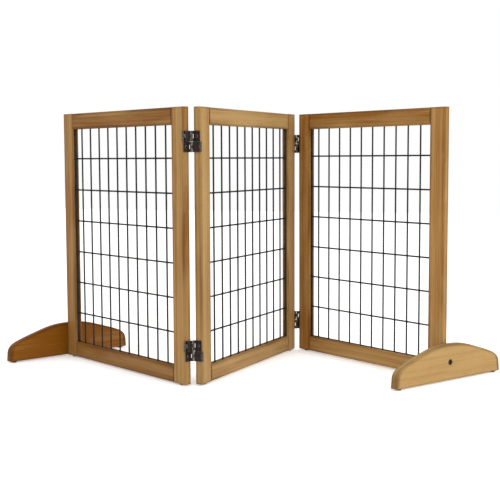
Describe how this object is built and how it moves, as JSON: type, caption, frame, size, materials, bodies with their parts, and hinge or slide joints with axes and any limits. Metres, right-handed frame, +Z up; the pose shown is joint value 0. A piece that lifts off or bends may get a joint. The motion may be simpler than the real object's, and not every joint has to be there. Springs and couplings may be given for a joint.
{
  "type": "pet gate",
  "caption": "Free-standing folding pet gate: wooden frames with welded wire infill, joined by double-action hinges and held up by cross feet.",
  "frame": {"origin": "centre of the gate's bounding box at floor level, folded as it stands", "axes": "+X along the gate's span from the left panel's foot to the right panel's foot, +Y from the side it is seen from to the far side, +Z up"},
  "size_m": [1.1436, 0.5314, 0.603],
  "materials": {
    "wood": "honey-stained hardwood under satin lacquer",
    "wire": "black powder-coated welded wire",
    "hinge_metal": "dark antique-bronze plated sheet steel, half gloss",
    "bolt_steel": "black oxide steel",
    "rubber": "matt black rubber"
  },
  "bodies": {
    "mid_panel": {"mid_left_stile": "wood", "mid_left_glide": "rubber", "mid_right_stile": "wood", "mid_right_glide": "rubber", "mid_bottom_rail": "wood", "mid_top_rail": "wood", "mid_wire_infill": "wire", "left_top_hinge_mid_leaf": "hinge_metal", "left_bottom_hinge_mid_leaf": "hinge_metal", "right_top_hinge_mid_leaf": "hinge_metal", "right_bottom_hinge_mid_leaf": "hinge_metal"},
    "left_drive_links": {"left_top_hinge_drive_link": "hinge_metal", "left_top_hinge_mid_pin": "hinge_metal", "left_top_hinge_outer_pin": "hinge_metal", "left_bottom_hinge_drive_link": "hinge_metal", "left_bottom_hinge_mid_pin": "hinge_metal", "left_bottom_hinge_outer_pin": "hinge_metal"},
    "left_panel": {"left_left_stile": "wood", "left_left_glide": "rubber", "left_right_stile": "wood", "left_right_glide": "rubber", "left_bottom_rail": "wood", "left_top_rail": "wood", "left_wire_infill": "wire", "left_foot": "wood", "left_foot_bolt": "bolt_steel", "left_insert_nut": "bolt_steel", "left_foot_pad_a": "rubber", "left_foot_pad_b": "rubber", "left_top_hinge_outer_leaf": "hinge_metal", "left_bottom_hinge_outer_leaf": "hinge_metal"},
    "left_cross_links": {"left_top_hinge_cross_link": "hinge_metal", "left_top_hinge_cross_pin": "hinge_metal", "left_bottom_hinge_cross_link": "hinge_metal", "left_bottom_hinge_cross_pin": "hinge_metal"},
    "right_drive_links": {"right_top_hinge_drive_link": "hinge_metal", "right_top_hinge_mid_pin": "hinge_metal", "right_top_hinge_outer_pin": "hinge_metal", "right_bottom_hinge_drive_link": "hinge_metal", "right_bottom_hinge_mid_pin": "hinge_metal", "right_bottom_hinge_outer_pin": "hinge_metal"},
    "right_panel": {"right_left_stile": "wood", "right_left_glide": "rubber", "right_right_stile": "wood", "right_right_glide": "rubber", "right_bottom_rail": "wood", "right_top_rail": "wood", "right_wire_infill": "wire", "right_foot": "wood", "right_foot_bolt": "bolt_steel", "right_insert_nut": "bolt_steel", "right_foot_pad_a": "rubber", "right_foot_pad_b": "rubber", "right_top_hinge_outer_leaf": "hinge_metal", "right_bottom_hinge_outer_leaf": "hinge_metal"},
    "right_cross_links": {"right_top_hinge_cross_link": "hinge_metal", "right_top_hinge_cross_pin": "hinge_metal", "right_bottom_hinge_cross_link": "hinge_metal", "right_bottom_hinge_cross_pin": "hinge_metal"}
  },
  "joints": [
    {"name": "left_drive_pivot", "type": "hinge", "parent": "mid_panel", "child": "left_drive_links", "pos_m": [-0.01718, -0.2461, 0.3], "axis": [0, 0, -1], "range_deg": [-13, 5.4]},
    {"name": "left_fold", "type": "hinge", "parent": "left_drive_links", "child": "left_panel", "pos_m": [-0.04073, -0.24447, 0.3], "axis": [0, 0, -1], "range_deg": [-99.5, 40]},
    {"name": "left_cross_pivot", "type": "hinge", "parent": "mid_panel", "child": "left_cross_links", "pos_m": [-0.03861, -0.24341, 0.3], "axis": [0, 0, -1], "range_deg": [-100, 40.5]},
    {"name": "right_drive_pivot", "type": "hinge", "parent": "mid_panel", "child": "right_drive_links", "pos_m": [0.02298, 0.24674, 0.3], "axis": [0, 0, -1], "range_deg": [-13.4, 5.4]},
    {"name": "right_fold", "type": "hinge", "parent": "right_drive_links", "child": "right_panel", "pos_m": [0.04651, 0.24503, 0.3], "axis": [0, 0, -1], "range_deg": [-102.2, 40]},
    {"name": "right_cross_pivot", "type": "hinge", "parent": "mid_panel", "child": "right_cross_links", "pos_m": [0.04441, 0.24404, 0.3], "axis": [0, 0, -1], "range_deg": [-102.7, 40.5]}
  ],
  "couplings": [
    {"joint": "left_drive_pivot", "follows": "left_fold", "ratio": 0.13},
    {"joint": "left_cross_pivot", "follows": "left_fold", "ratio": 1},
    {"joint": "right_drive_pivot", "follows": "right_fold", "ratio": 0.13},
    {"joint": "right_cross_pivot", "follows": "right_fold", "ratio": 1}
  ]
}
